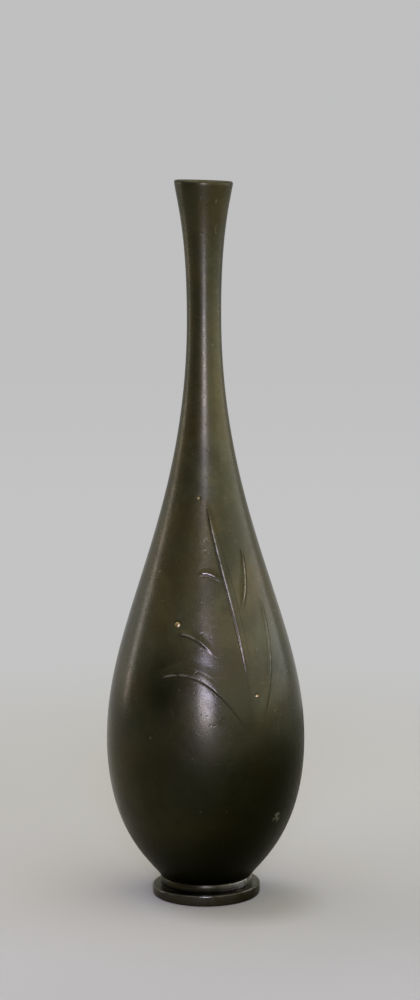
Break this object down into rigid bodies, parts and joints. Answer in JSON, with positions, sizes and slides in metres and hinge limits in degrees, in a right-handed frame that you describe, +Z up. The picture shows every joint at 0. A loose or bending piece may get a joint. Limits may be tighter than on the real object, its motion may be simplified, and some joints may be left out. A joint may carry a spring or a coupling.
{
  "type": "bottle vase",
  "caption": "Slender bronze bottle vase: drop-shaped body, long narrow neck with flared mouth, moulded foot ring, patinated, with small gilt inlays.",
  "frame": {"origin": "centre of the flat underside of the foot ring, on the surface that the vase stands on", "axes": "+Z up along the vase's axis, -Y towards the front with the gilt drops, +X to the right"},
  "size_m": [0.0832, 0.0832, 0.3],
  "materials": {
    "patinated_bronze": "satin dark olive-brown patina, waxed",
    "foot_bronze": "satin dark brown patina, waxed",
    "plate_bronze": "matte brown, as cast and filed",
    "plug_bronze": "satin green-brown patina",
    "solder": "dull yellow hard solder",
    "gilt": "polished gold"
  },
  "bodies": {
    "root": {"body": "patinated_bronze", "neck": "patinated_bronze", "neck_solder_ring": "solder", "foot_ring": "foot_bronze", "foot_solder_ring": "solder", "base_plate": "plate_bronze", "base_solder_fillet": "solder", "low_core_plug_1": "plug_bronze", "low_core_plug_2": "plug_bronze", "low_core_plug_3": "plug_bronze", "high_core_plug_1": "plug_bronze", "high_core_plug_2": "plug_bronze", "high_core_plug_3": "plug_bronze", "gilt_drop_1": "gilt", "gilt_drop_2": "gilt", "gilt_drop_3": "gilt"}
  },
  "joints": []
}
